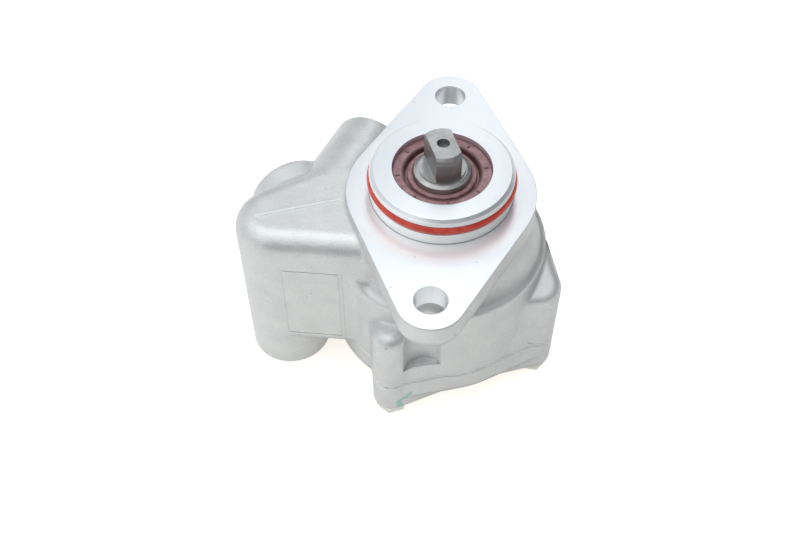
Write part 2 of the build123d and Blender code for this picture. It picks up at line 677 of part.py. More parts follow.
def snap_ring(outer, inner, low, thickness, gap_angle, eyes_inward):
    band = ring(outer, inner, low, low + thickness)
    gap = make_face(Polyline((0, 0), polar(outer + 6.0, -gap_angle / 2)[:2],
                             polar(outer + 6.0, gap_angle / 2)[:2], close=True))
    band -= Pos(0, 0, low - 1.0) * extrude(gap, thickness + 2.0)
    eye_radius = 1.9
    for side in (-1, 1):
        seat = inner + 0.2 if eyes_inward else outer - 0.2
        ex, ey, _ = polar(seat, side * (gap_angle / 2 + math.degrees(eye_radius / seat)))
        band += disc(eye_radius, low, low + thickness, ex, ey)
        band -= disc(0.9, low - 1.0, low + thickness + 1.0, ex, ey)
    return band


bearing_clip = snap_ring(bearing_radius + circlip_depth, bearing_radius - 2.2,
                         bearing_bottom_z - circlip_thickness, circlip_thickness - 0.05, 24.0, True)
export_step(bearing_clip, "parts/bearing_circlip.step")
shaft_clip = snap_ring(journal_radius + 1.5, journal_radius - shaft_clip_depth + press,
                       clip_bottom_z + slip, shaft_clip_groove - 2 * slip, 60.0, False)
export_step(shaft_clip, "parts/shaft_circlip.step")

# Pressure plate above the cam ring, with two kidney ports and the ring groove
plate_radius = cavity_radius - slip
pressure_plate = ring(plate_radius, spline_tip + 0.3, cam_top_z, plate_top_z)
for angle in kidney_angles:
    kidney = SlotArc(CenterArc((0, 0), kidney_radius, angle, kidney_sweep), kidney_width)
    pressure_plate -= Pos(0, 0, cam_top_z - 1.0) * extrude(kidney, pressure_plate_thickness + 2.0)
oil_groove_radius = kidney_radius - kidney_width / 2 - 2.0
pressure_plate -= ring(oil_groove_radius, oil_groove_radius - plate_groove_width,
                       cam_top_z - 1.0, cam_top_z + 1.5)
for angle in dowel_angles:
    px, py, _ = polar(dowel_circle_radius, angle)
    pressure_plate -= disc(dowel_hole_radius, cam_top_z - 1.0, plate_top_z - 3.0, px, py)
plate_groove_z = (plate_top_z + cam_top_z) / 2 + 0.5
pressure_plate -= ring(plate_radius + 1.0, plate_radius - ring_groove_depth,
                       plate_groove_z - ring_groove_width / 2, plate_groove_z + ring_groove_width / 2)
export_step(pressure_plate, "parts/pressure_plate.step")
plate_ring = squeezed_ring(cavity_radius - squeeze_gap, squeezed_depth, ring_width, plate_groove_z)
export_step(plate_ring, "parts/plate_o_ring.step")

# Cam ring with its two-lobed bore
cam_points = []
for k in range(16):
    turn = 2 * math.pi * k / 16
    reach = cam_minor_radius + cam_rise * (1 - math.cos(2 * turn)) / 2
    cam_points.append((reach * math.cos(turn), reach * math.sin(turn)))
cam_face = Circle(cam_outer_radius) - make_face(Spline(*cam_points, periodic=True))
for angle in dowel_angles:
    px, py, _ = polar(dowel_circle_radius, angle)
    cam_face -= Pos(px, py) * Circle(dowel_hole_radius)
cam_ring = Pos(0, 0, cam_bottom_z + 0.01) * extrude(cam_face, cam_ring_width - 0.02)
cam_intake = Pos(cam_outer_radius - 3.0, 0, cam_bottom_z) * Box(16.0, intake_width, 5.0)
for angle in intake_angles:
    cam_ring -= Rot(0, 0, angle) * cam_intake
export_step(cam_ring, "parts/cam_ring.step")

# Rotor with blade slots and splined bore
slot_floor = rotor_radius - vane_height - 0.6
slot_width = vane_thickness + 2 * running
rotor_face = Circle(rotor_radius) - Circle(spline_root + running)
for k in range(spline_count):
    rotor_face -= Rot(0, 0, 360.0 / spline_count * k) * (
        Pos(spline_tip / 2, 0) * Rectangle(spline_tip + 2 * running, spline_width + 2 * running))
vane_slot = Pos(slot_floor + rotor_radius / 2, 0) * Rectangle(rotor_radius, slot_width)
vane_slot += Pos(slot_floor, 0) * Circle(slot_width * 0.75)
for k in range(vane_count):
    rotor_face -= Rot(0, 0, 360.0 / vane_count * k) * vane_slot
rotor = Pos(0, 0, rotor_bottom_z) * extrude(rotor_face, rotor_top_z - rotor_bottom_z)
export_step(rotor, "parts/rotor.step")
vane_outer = rotor_radius - vane_back
for k in range(vane_count):
    blade = Pos(vane_outer - vane_height / 2, 0, (rotor_top_z + rotor_bottom_z) / 2) * Box(
        vane_height, vane_thickness, rotor_top_z - rotor_bottom_z - 0.02)
    tip = [e for e in blade.edges().filter_by(Axis.Z) if e.center().X > vane_outer - 0.1]
    blade = fillet(tip, vane_thickness * 0.45)
    export_step(Rot(0, 0, 360.0 / vane_count * k) * blade, "parts/vane_%02d.step" % (k + 1))

# Lower side plate, dowels, rotor clip, end bush
rear_plate = ring(plate_radius - spring_room, end_journal_radius + 4.5,
                  rear_plate_bottom_z + 0.01, cam_bottom_z - 0.01)
for angle in dowel_angles:
    px, py, _ = polar(dowel_circle_radius, angle)
    rear_plate -= disc(dowel_hole_radius, rear_plate_bottom_z - 1.0, cam_bottom_z + 1.0, px, py)
for angle in intake_angles:
    rear_plate -= Rot(0, 0, angle) * (
        Pos(plate_radius - 3.0, 0, cam_bottom_z) * Box(20.0, intake_width - 2.0, 5.0))
for angle in kidney_angles:
    kidney = SlotArc(CenterArc((0, 0), kidney_radius, angle, kidney_sweep), kidney_width - 1.0)
    rear_plate -= Pos(0, 0, cam_bottom_z - 2.0) * extrude(kidney, 4.0)
export_step(rear_plate, "parts/rear_side_plate.step")
dowels = []
for angle in dowel_angles:
    px, py, _ = polar(dowel_circle_radius, angle)
    pin = disc(dowel_dia / 2, rear_plate_bottom_z - 4.8, plate_top_z - 3.2, px, py)
    dowels.append(chamfer(pin.edges().filter_by(GeomType.CIRCLE), 0.5))
export_step(Compound(children=dowels), "parts/dowel_pins.step")
rotor_clip = snap_ring(end_journal_radius + 2.2, end_journal_radius - rotor_clip_depth + press,
                       rotor_clip_z - 0.55, 1.1, 70.0, False)
export_step(rotor_clip, "parts/rotor_circlip.step")
bush = ring(bush_radius - press, end_journal_radius + running,
            bush_bottom_z + 0.02, rear_plate_bottom_z - 0.4)
export_step(bush, "parts/shaft_bush.step")

# Cone-shaped disc spring that keeps the plates closed
cone_inner = bearing_radius + 1.5
cone_outer = cavity_radius - 1.5
cone_top = cavity_top_z - 0.02
cone_bottom = plate_top_z + 0.02
plate_spring = turned([
    (cone_inner, cone_top - spring_wall), (cone_inner, cone_top), (cone_inner + 1.0, cone_top),
    (cone_outer, cone_bottom + spring_wall), (cone_outer, cone_bottom), (cone_outer - 1.0, cone_bottom)])
export_step(plate_spring, "parts/plate_spring.step")

# Flow valve: closing plug, washer, spool, spring, stop ring, relief parts
spool_radius = spool_dia / 2
spring_pocket_radius = spool_radius - spool_wall
spring_pocket_floor = -spool_back - spring_pocket_depth
plug_pocket_end = -plug_thread_depth + plug_pocket_depth
plug_neck_radius = plug_thread_dia / 2 - plug_neck_depth
plug = disc(plug_thread_dia / 2 - slip, -plug_thread_depth, 0.0)
plug += disc(plug_collar_radius, washer_thickness, washer_thickness + plug_collar_height)
plug += disc(plug_neck_radius, -0.5, washer_thickness + 0.5)
plug = chamfer(plug.edges().group_by(Axis.Z)[-1], 0.8)
plug -= Pos(0, 0, -3.0) * extrude(RegularPolygon(plug_socket_across_flats / 2, 6, major_radius=False), 12.0)
plug -= disc(spring_pocket_radius + plug_pocket_room, -plug_thread_depth - 1.0, plug_pocket_end)
export_step(valve_plane * plug, "parts/valve_plug.step")
washer = ring(plug_collar_radius + washer_outset, plug_neck_radius + 0.1, 0.02, washer_thickness - 0.02)
export_step(valve_plane * washer, "parts/plug_washer.step")
spool = disc(spool_radius, -spool_front, -spool_back)
spool -= ring(spool_radius + 1.0, spool_radius - spool_waist_depth, -spool_front + 4.0, -spool_front + 10.0)
for start in (14.0, 17.0):
    groove_low = -spool_front + start
    spool -= ring(spool_radius + 1.0, spool_radius - spool_groove_depth, groove_low, groove_low + 1.0)
spool -= disc(spring_pocket_radius, spring_pocket_floor, -spool_back + 1.0)
spool -= disc(relief_bore_radius, -spool_front + relief_seat_depth, spring_pocket_floor + 1.0)
spool -= disc(relief_hole_radius, -spool_front - 1.0, -spool_front + relief_seat_depth + 1.0)
export_step(valve_plane * spool, "parts/flow_spool.step")


def coil(radius, wire, start, end, turns):
    rise = end - start - 2 * wire - 0.08
    low = start + wire + 0.04
    path = Pos(0, 0, low) * Helix(rise / turns, rise, radius)
    section = Plane(origin=path @ 0, z_dir=path % 0) * RegularPolygon(wire, 8)
    return sweep(section, path=path)


spool_spring_radius = spring_pocket_radius - spring_wire / 2 - spring_room
spool_spring = coil(spool_spring_radius, spring_wire / 2, spring_pocket_floor, plug_pocket_end, spring_turns)
export_step(valve_plane * spool_spring, "parts/spool_spring.step")
relief_ball_radius = relief_ball_dia / 2
ball_rise = math.sqrt(relief_ball_radius ** 2 - relief_hole_radius ** 2) + slip
ball_place = -spool_front + relief_seat_depth + ball_rise
export_step(valve_plane * (Pos(0, 0, ball_place) * Sphere(relief_ball_radius)), "parts/relief_ball.step")
relief_cup_top = spring_pocket_floor + 0.4
relief_cup_bottom = relief_cup_top - relief_cup_thickness
relief_cup = ring(relief_bore_radius - press, relief_hole_radius, relief_cup_bottom, relief_cup_top)
export_step(valve_plane * relief_cup, "parts/relief_spring_seat.step")
relief_spring_radius = relief_bore_radius - relief_wire / 2 - 0.4
relief_spring = coil(relief_spring_radius, relief_wire / 2, ball_place + relief_ball_radius,
                     relief_cup_bottom, relief_turns)
export_step(valve_plane * relief_spring, "parts/relief_spring.step")
stop_top = -spool_front - 0.1
stop = ring(bore_radius - press, stop_ring_inner_radius, stop_top - stop_ring_thickness, stop_top)
export_step(valve_plane * stop, "parts/spool_stop.step")
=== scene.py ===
import json
import math

import bpy
from mathutils import Matrix, Vector


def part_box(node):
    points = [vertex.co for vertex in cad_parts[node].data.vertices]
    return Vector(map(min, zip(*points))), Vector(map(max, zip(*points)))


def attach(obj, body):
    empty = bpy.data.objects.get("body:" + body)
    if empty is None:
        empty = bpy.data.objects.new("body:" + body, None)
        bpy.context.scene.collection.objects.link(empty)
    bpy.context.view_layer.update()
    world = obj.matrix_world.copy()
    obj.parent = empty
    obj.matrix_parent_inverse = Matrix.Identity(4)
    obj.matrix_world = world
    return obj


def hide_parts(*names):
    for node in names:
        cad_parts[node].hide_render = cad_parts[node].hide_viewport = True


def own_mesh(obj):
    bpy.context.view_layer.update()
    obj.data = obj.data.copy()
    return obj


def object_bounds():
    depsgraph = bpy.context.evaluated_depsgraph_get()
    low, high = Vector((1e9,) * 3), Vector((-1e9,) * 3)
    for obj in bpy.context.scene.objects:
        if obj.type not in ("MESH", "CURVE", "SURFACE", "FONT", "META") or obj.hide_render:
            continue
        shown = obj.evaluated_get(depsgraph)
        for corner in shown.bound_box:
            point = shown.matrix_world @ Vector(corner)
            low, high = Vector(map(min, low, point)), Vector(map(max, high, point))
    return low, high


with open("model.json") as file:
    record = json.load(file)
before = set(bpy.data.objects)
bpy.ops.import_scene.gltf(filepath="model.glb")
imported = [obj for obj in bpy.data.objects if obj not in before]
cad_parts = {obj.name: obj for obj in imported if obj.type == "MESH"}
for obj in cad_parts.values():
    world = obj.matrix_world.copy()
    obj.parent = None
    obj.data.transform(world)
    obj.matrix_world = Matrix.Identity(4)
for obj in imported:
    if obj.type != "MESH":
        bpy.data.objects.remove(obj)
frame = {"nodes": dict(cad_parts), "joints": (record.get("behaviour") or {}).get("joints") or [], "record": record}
solid_low, solid_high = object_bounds()

# The camera stands in front of the pump and above it, where the photograph was taken,
# and looks down at the near ear of the flange.
photo_width_px = 800.0
focal_length_px = 1045.0
sensor_width_mm = 36.0
camera_place = Vector((0.01142, -0.30955, 0.32648))
camera_target = Vector((-0.01367, -0.04414, 0.0))
camera_data = bpy.data.cameras.new("camera")
camera_data.sensor_width = sensor_width_mm
camera_data.lens = focal_length_px * sensor_width_mm / photo_width_px
camera_data.clip_start = 0.01
camera_data.clip_end = 20.0
camera = bpy.data.objects.new("camera", camera_data)
camera.location = camera_place
camera.rotation_euler = (camera_target - camera_place).to_track_quat("-Z", "Y").to_euler()
bpy.context.scene.collection.objects.link(camera)
bpy.context.scene.camera = camera
bpy.context.scene.view_settings.view_transform = "Standard"


# The studio is a white table under a wide soft box, in a pale room that is darker low down
# on the camera's side. The table glows a little through its paper, so the pump casts only a
# faint, warm shadow.
class Wire:
    """A value in a node tree. Operators add Math nodes, and node() adds any other."""

    def __init__(self, tree, socket=None):
        self.tree = tree
        self.socket = socket

    def node(self, kind, settings=None, values=None, output=0):
        made = self.tree.nodes.new(kind)
        for name, value in (settings or {}).items():
            setattr(made, name, value)
        for key, value in (values or {}).items():
            if isinstance(value, Wire):
                self.tree.links.new(value.socket, made.inputs[key])
            else:
                made.inputs[key].default_value = value
        return Wire(self.tree, made.outputs[output] if made.outputs else None)

    def math(self, operation, *others):
        values = {index: other for index, other in enumerate((self, *others))}
        return self.node("ShaderNodeMath", {"operation": operation}, values)

    def __add__(self, other):
        return self.math("ADD", other)

    def __radd__(self, other):
        return self.math("ADD", other)

    def __sub__(self, other):
        return self.math("SUBTRACT", other)

    def __rsub__(self, other):
        return self.node("ShaderNodeMath", {"operation": "SUBTRACT"}, {0: other, 1: self})

    def __mul__(self, other):
        return self.math("MULTIPLY", other)

    def __rmul__(self, other):
        return self.math("MULTIPLY", other)

    def __pow__(self, other):
        return self.math("POWER", other)

    def over(self, low, high):
        """0 below low, 1 above high and smooth between, so that a mask has a soft edge."""
        return self.node(
            "ShaderNodeMapRange", {"interpolation_type": "SMOOTHSTEP", "clamp": True},
            {"Value": self, "From Min": low, "From Max": high})

    def under(self, low, high):
        return 1.0 - self.over(low, high)

    def within(self, middle, low, high):
        """1 where the value is within low of middle, and 0 where it is past high from it."""
        return (self - middle).math("ABSOLUTE").under(low, high)

    def mix(self, first, second):
        """The first colour where this value is 0 and the second where it is 1."""
        return self.node("ShaderNodeMix", {"data_type": "RGBA"}, {0: self, 6: first, 7: second}, 2)

    def vector(self, operation, other=None, output="Vector", **named):
        """A Vector Math node on this vector, and on the other where the operation takes two."""
        values = {0: self, **named}
        if other is not None:
            values[1] = other
        return self.node("ShaderNodeVectorMath", {"operation": operation}, values, output)

    def axis(self, name):
        return self.node("ShaderNodeSeparateXYZ", values={"Vector": self}, output=name)


def new_tree(owner):
    owner.use_nodes = True
    owner.node_tree.nodes.clear()
    return Wire(owner.node_tree)


floor_z = solid_low.z
floor_reach = 6.0
floor_corners = [(x * floor_reach, y * floor_reach, floor_z)
                 for x, y in ((-1, -1), (1, -1), (1, 1), (-1, 1))]
floor_mesh = bpy.data.meshes.new("floor")
floor_mesh.from_pydata(floor_corners, [], [(0, 1, 2, 3)])
floor = bpy.data.objects.new("floor", floor_mesh)
bpy.context.scene.collection.objects.link(floor)

paper_colour = (0.80, 0.785, 0.765, 1.0)
backlight_colour = (1.0, 0.99, 0.975, 1.0)
backlight_level = 0.33
backlight_loss_on_right = 0.5
seen_paper_colour = (1.0, 0.94, 0.88, 1.0)
seen_paper_level = 0.69
paper = bpy.data.materials.new("white_paper")
tree = new_tree(paper)
camera_ray = tree.node("ShaderNodeLightPath", output="Is Camera Ray")
across_table = tree.node("ShaderNodeTexCoord", output="Object").axis("X")
on_right = across_table.over(0.02, 0.10) * across_table.under(0.16, 0.30)
backlight = tree.node("ShaderNodeEmission", values={
    "Color": backlight_colour,
    "Strength": backlight_level * (1.0 - on_right * backlight_loss_on_right)})
seen_paper = tree.node("ShaderNodeEmission", values={
    "Color": seen_paper_colour, "Strength": seen_paper_level})
paper_diffuse = tree.node("ShaderNodeBsdfDiffuse", values={"Color": paper_colour})
lit = tree.node("ShaderNodeMixShader", values={0: camera_ray, 1: backlight, 2: seen_paper})
glowing = tree.node("ShaderNodeAddShader", values={0: paper_diffuse, 1: lit})
tree.node("ShaderNodeOutputMaterial", values={"Surface": glowing})
floor_mesh.materials.append(paper)

room_colour = (0.94, 0.975, 1.0, 1.0)
room_level = 0.53
world = bpy.data.worlds.new("studio")
bpy.context.scene.world = world
tree = new_tree(world)
camera_ray = tree.node("ShaderNodeLightPath", output="Is Camera Ray")
direction = tree.node("ShaderNodeTexCoord", output="Generated")


def patch(towards, wide, soft):
    """1 in the room's directions within wide of towards, as a cosine, and soft outside it."""
    towards = Vector(towards).normalized()
    return direction.vector("DOT_PRODUCT", towards, "Value").over(wide - soft, wide)


behind = direction.axis("Y").over(0.0, 0.25)
soft_box = patch((-0.15, -0.10, 0.98), 0.82, 0.12) * 0.74
strip_behind = direction.axis("X").within(0.04, 0.03, 0.18) * behind * 1.50
left_wall = patch((-1.0, -0.25, 0.35), 0.85, 0.50) * 0.27
left_behind = patch((-0.42, 0.64, 0.62), 0.93, 0.10) * 0.12
dark_behind = patch((0.10, 0.78, 0.62), 0.80, 0.25) * 0.16
dark_right = patch((0.95, 0.25, 0.35), 0.70, 0.55) * 0.40
dark_front = patch((0.06, -0.93, 0.33), 0.95, 0.09) * 0.85
level = room_level - dark_behind + soft_box + strip_behind + left_wall + left_behind
level = level * ((1.0 - dark_front) * (1.0 - dark_right))
room = tree.node("ShaderNodeBackground", values={"Color": room_colour, "Strength": level})
white = tree.node("ShaderNodeBackground", values={"Color": (1.0, 1.0, 1.0, 1.0), "Strength": 1.0})
blended = tree.node("ShaderNodeMixShader", values={0: camera_ray, 1: room, 2: white})
tree.node("ShaderNodeOutputWorld", values={"Surface": blended})

lamp_place = Vector((-0.12, 0.15, 1.2))
lamp_side = 0.9
lamp_data = bpy.data.lights.new("soft_lamp", "AREA")
lamp_data.shape = "RECTANGLE"
lamp_data.size = lamp_side
lamp_data.size_y = lamp_side
lamp_data.energy = 2.6
lamp_data.color = (0.95, 0.98, 1.0)
lamp = bpy.data.objects.new("soft_lamp", lamp_data)
lamp.location = lamp_place
lamp.rotation_euler = (-lamp_place).to_track_quat("-Z", "Y").to_euler()
bpy.context.scene.collection.objects.link(lamp)


# The housing is one sand-cast and blasted aluminium piece. Its flange face, spigot and holes
# are turned or drilled bright, and a few nicks and scuffs from handling mark its edges.
class Finish:
    """One material: its tree, its coordinates, and a Principled shader that close() links up."""

    def __init__(self, name):
        self.material = bpy.data.materials.new(name)
        self.tree = new_tree(self.material)
        self.place = self.tree.node("ShaderNodeTexCoord", output="Object")
        self.x, self.y, self.z = [self.place.axis(name) for name in "XYZ"]

    def noise(self, size, detail=2.0, roughness=0.5, vector=None):
        """Cloudy noise from 0 to 1 whose lumps are about size across, in metres."""
        return self.tree.node("ShaderNodeTexNoise", {"noise_dimensions": "3D"}, {
            "Vector": vector or self.place, "Scale": 1.0 / size, "Detail": detail,
            "Roughness": roughness})

    def cells(self, size):
        """The distance, in cells, to the nearest of points scattered about size apart."""
        return self.tree.node("ShaderNodeTexVoronoi", {"feature": "F1"}, {
            "Vector": self.place, "Scale": 1.0 / size, "Randomness": 1.0}, "Distance")

    def from_shaft(self):
        return (self.x * self.x + self.y * self.y) ** 0.5

    def around_shaft(self):
        """Coordinates that are the same all the way round the shaft, for marks of turning."""
        return self.tree.node("ShaderNodeCombineXYZ", values={
            "X": self.from_shaft(), "Y": 0.0, "Z": self.z})

    def rounded(self, radius):
        """The surface's normal with its edges and corners softened over radius, in metres."""
        return self.tree.node("ShaderNodeBevel", {"samples": 8}, {"Radius": radius})

    def bump(self, height, depth, normal=None):
        values = {"Height": height, "Strength": 1.0, "Distance": depth}
        if normal is not None:
            values["Normal"] = normal
        return self.tree.node("ShaderNodeBump", values=values)

    def near(self, centre, reach):
        """1 near a point and 0 from reach on, in metres."""
        return self.place.vector("DISTANCE", Vector(centre), "Value").under(reach * 0.6, reach)

    def stroke(self, start, end, width):
        """1 along a straight mark from start to end, width across, in metres."""
        along = Vector(end) - Vector(start)
        from_start = self.place.vector("SUBTRACT", Vector(start))
        share = from_start.vector("DOT_PRODUCT", along / along.length_squared, "Value")
        held = self.tree.node("ShaderNodeClamp", values={"Value": share})
        nearest = self.tree.node(
            "ShaderNodeVectorMath", {"operation": "SCALE"}, {0: along, "Scale": held})
        return from_start.vector("DISTANCE", nearest, "Value").under(width * 0.3, width * 0.6)

    def close(self, colour, roughness, metallic, normal, **fixed):
        shader = self.tree.node("ShaderNodeBsdfPrincipled", values={
            "Base Color": colour, "Roughness": roughness, "Metallic": metallic,
            "Normal": normal, **fixed})
        self.tree.node("ShaderNodeOutputMaterial", values={"Surface": shader})
        return self.material


def dress(names, material):
    """Gives CAD nodes their finished material."""
    for name in names:
        slots = frame["nodes"][name].data.materials
        slots.clear()
        slots.append(material)


cast_light = (0.72, 0.725, 0.715, 1.0)
cast_dark = (0.62, 0.625, 0.62, 1.0)
cast_pit = (0.26, 0.26, 0.25, 1.0)
# Pale colour for the casting's bright specks and light scratches, and for the painted highlights on the parting
# ridge and the cover joint.
speck_and_highlight = (0.93, 0.94, 0.94, 1.0)
cast_cloud_size = 0.011
cast_lump_size = 0.0024
cast_grain_size = 0.00075
cast_pit_spacing = 0.0031
cast_speck_spacing = 0.0014
cast_relief = 0.00015
cast_edge_round = 0.0032
cast_metallic = 0.58
machined_metal = (0.775, 0.80, 0.83, 1.0)
machined_roughness = 0.31
machined_metallic = 0.92
machined_edge_round = 0.0003
lathe_line_size = 0.00010
lathe_line_tip = 0.85


class Casting(Finish):
    """Blasted sand-cast aluminium: mottled, finely grained, with small pits and bright specks."""

    def __init__(self, name):
        super().__init__(name)
        cloud = self.noise(cast_cloud_size, 3.0)
        grain = self.noise(cast_grain_size, 3.0, 0.65)
        lumps = self.noise(cast_lump_size)
        pitted_areas = self.noise(0.009).over(0.48, 0.60)
        pits = self.cells(cast_pit_spacing).under(0.05, 0.11) * pitted_areas
        specks = self.cells(cast_speck_spacing).under(0.07, 0.16)
        self.colour = (cloud * 0.45 + grain * 0.55).over(0.32, 0.68).mix(cast_dark, cast_light)
        self.mark(pits, cast_pit, 0.50)
        self.mark(specks, speck_and_highlight, 0.45)
        self.roughness = 0.36 + cloud * 0.10 - specks * 0.14
        self.metallic = cast_metallic
        height = grain * 0.6 + lumps * 0.6 - pits * 1.2
        self.normal = self.bump(height, cast_relief, self.rounded(cast_edge_round))

    def mark(self, mask, colour, strength):
        self.colour = (mask * strength).mix(self.colour, colour)

    def machine(self, mask):
        """Bright metal where the mask is 1, with fine lathe lines that spread the light."""
        self.mark(mask, machined_metal, 1.0)
        self.roughness = self.roughness * (1.0 - mask) + mask * machined_roughness
        self.metallic = self.metallic * (1.0 - mask) + mask * machined_metallic
        crisp = self.rounded(machined_edge_round)
        down = Vector((0.0, 0.0, -1.0))
        round_shaft = self.place.vector("CROSS_PRODUCT", down).vector("NORMALIZE")
        across_lines = round_shaft.vector("CROSS_PRODUCT", crisp)
        lines = self.noise(lathe_line_size, 2.0, 0.7, self.around_shaft()) - 0.5
        tip = across_lines.vector("SCALE", Scale=lines * lathe_line_tip)
        turned = crisp.vector("ADD", tip).vector("NORMALIZE")
        self.normal = self.tree.node(
            "ShaderNodeMix", {"data_type": "VECTOR"}, {0: mask, 4: self.normal, 5: turned}, 1)

    def finished(self):
        return self.close(self.colour, self.roughness, self.metallic, self.normal)


mount = {m["name"]: m["dims"] for m in frame["record"]["mounts"] if "dims" in m}
hole_spacing = mount["mounting_holes"]["spacing_y_mm"] / 1000
hole_radius = mount["mounting_holes"]["hole_r_mm"] / 1000
spigot_radius = mount["pilot"]["r_mm"] / 1000
finish = Casting("cast_housing")
turned_face = finish.z.over(-0.00006, -0.00002)
from_hole_y = finish.y.math("ABSOLUTE") - hole_spacing / 2
from_hole = (finish.x * finish.x + from_hole_y * from_hole_y) ** 0.5
drilled = from_hole.under(hole_radius + 0.00005, hole_radius + 0.00015)
finish.machine(turned_face.math("MAXIMUM", drilled))

# Painted highlight: round the spigot's foot the flange face is made paler and less metallic, more toward the near
# and far ears than at the sides, and the spigot wall is made paler and less metallic too.
satin_highlight_metal = (0.95, 0.96, 0.96, 1.0)
radius = finish.from_shaft()
highlight_toward_ears = finish.y.math("ABSOLUTE").over(0.014, 0.034) * 0.6 + 0.4
on_flange = finish.z.under(0.0004, 0.0006) * turned_face
spigot_foot = radius.under(spigot_radius + 0.005, spigot_radius + 0.012) * on_flange
spigot_wall = radius.within(spigot_radius, 0.0003, 0.0005) * finish.z.over(0.0003, 0.0005)
satin_and_highlight = (spigot_foot * highlight_toward_ears).math("MAXIMUM", spigot_wall)
finish.mark(satin_and_highlight, satin_highlight_metal, 1.0)
finish.metallic = finish.metallic - satin_and_highlight * 0.42
# Painted shade: a dark line in the inside corner where the spigot wall meets the flange face.
spigot_foot_shade = radius.within(spigot_radius, 0.00015, 0.0004) * finish.z.under(0.0003, 0.0006)
finish.mark(spigot_foot_shade * turned_face, (0.30, 0.31, 0.33, 1.0), 0.7)

scuff_dark = (0.20, 0.20, 0.21, 1.0)
housing_nicks = [
    ((-0.01641, -0.05521, 0.0), 0.0006, 0.45),
    ((-0.01647, 0.05433, 0.0), 0.0008, 0.22),
    ((-0.00807, -0.03860, 0.0), 0.0005, 0.25),
    ((0.01714, -0.03887, 0.0), 0.0005, 0.30),
    ((-0.01860, -0.05564, -0.04240), 0.0009, 0.40),
    ((0.01045, -0.06958, -0.00879), 0.0008, 0.45)]
for spot, reach, strength in housing_nicks:
    finish.mark(finish.near(spot, reach), scuff_dark, strength)
# Painted highlight: the last stroke in the list below is a pale band along the parting ridge on the wing's top;
# the others are real scratches.
ridge_turn = math.radians(20.0)
ridge_highlight_half = Vector((math.cos(ridge_turn), math.sin(ridge_turn), 0.0)) * 0.018
ridge_highlight_middle = Vector((-0.061, -0.0118, -0.0049))
housing_scratches_and_ridge_highlight = [
    ((0.02093, -0.04318, -0.07083), (0.02422, -0.04143, -0.0724), 0.0008, scuff_dark, 0.55),
    ((0.04411, -0.02739, -0.06961), (0.0475, -0.0262, -0.0722), 0.0007, scuff_dark, 0.5),
    ((-0.03093, -0.03046, -0.00775), (-0.03078, -0.03290, -0.01268), 0.0006, speck_and_highlight, 0.5),
    ((0.04893, -0.02551, -0.04169), (0.05250, -0.02409, -0.04607), 0.0007, speck_and_highlight, 0.5),
    (ridge_highlight_middle - ridge_highlight_half, ridge_highlight_middle + ridge_highlight_half, 0.0018, speck_and_highlight, 0.5)]
for start, end, width, colour, strength in housing_scratches_and_ridge_highlight:
    finish.mark(finish.stroke(start, end, width), colour, strength)
joint_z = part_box("cover_o_ring")[0].z - 0.0016
# Painted highlight: a pale band along the joint with the cover, kept away from the post, lightens the shade in the
# joint.
beside_post = finish.x.over(-0.048, -0.046)
finish.mark(finish.z.within(joint_z, 0.0005, 0.0010) * beside_post, speck_and_highlight, 0.9)
dress(["housing"], finish.finished())

# The drive shaft is ground alloy steel, dull with oil, with a tang of two milled flats
# that drops into the engine's coupling.
ground_dark = (0.38, 0.38, 0.375, 1.0)
ground_light = (0.52, 0.52, 0.51, 1.0)
milled_dark = (0.10, 0.10, 0.10, 1.0)
tang_foot_z = 0.0142
tang_top_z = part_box("drive_shaft")[1].z
finish = Finish("ground_steel")
wash = finish.noise(0.006, 4.0)
above_foot = finish.z.over(tang_foot_z, tang_foot_z + 0.001)
below_top = finish.z.under(tang_top_z - 0.0004, tang_top_z - 0.0001)
shaft_colour = wash.over(0.3, 0.7).mix(ground_dark, ground_light)
shaft_colour = (above_foot * below_top * 0.32).mix(shaft_colour, milled_dark)
grinding = finish.noise(0.0003, 2.0, 0.7, finish.around_shaft())
shaft_normal = finish.bump(grinding, 0.00001, finish.rounded(0.0003))
dress(["drive_shaft"], finish.close(shaft_colour, 0.34 + wash * 0.12, 0.85, shaft_normal))


# A deep-groove ball bearing carries the shaft at the flange, between two spring clips. Its
# races and balls are polished bearing steel, and its cage is pressed from sheet brass.
def plain_metal(name, dark, light, roughness, grain_size):
    """Clean metal that clouds from dark to light, with fine grain and slightly dulled edges."""
    finish = Finish(name)
    wash = finish.noise(0.005, 4.0)
    tone = wash.over(0.3, 0.7).mix((*dark, 1.0), (*light, 1.0))
    normal = finish.bump(finish.noise(grain_size, 2.0, 0.7), 0.00001, finish.rounded(0.0002))
    return finish.close(tone, roughness + wash * 0.12, 0.95, normal)


bearing_steel = plain_metal("bearing_steel", (0.58, 0.59, 0.60), (0.72, 0.73, 0.74), 0.14, 0.0004)
spring_steel = plain_metal("spring_steel", (0.16, 0.16, 0.17), (0.28, 0.28, 0.29), 0.32, 0.0005)
pressed_brass = plain_metal("pressed_brass", (0.52, 0.36, 0.14), (0.70, 0.52, 0.24), 0.26, 0.0006)
dress(["bearing_outer_race", "bearing_inner_race", "bearing_balls"], bearing_steel)
dress(["bearing_circlip", "shaft_circlip"], spring_steel)
dress(["bearing_cage"], pressed_brass)

# The shaft seal is brown rubber moulded over a steel case, with small ticks round its face
# and a groove outside its lip. A garter spring holds the lip against the shaft.
seal_dark = (0.29, 0.135, 0.142, 1.0)
seal_light = (0.40, 0.225, 0.235, 1.0)
seal_groove_shade_and_ticks = (0.060, 0.020, 0.020, 1.0)
tick_step = math.radians(45.0)
tick_first = math.radians(12.0)
finish = Finish("seal_rubber")
bloom = finish.noise(0.003, 4.0)
radius = finish.from_shaft()
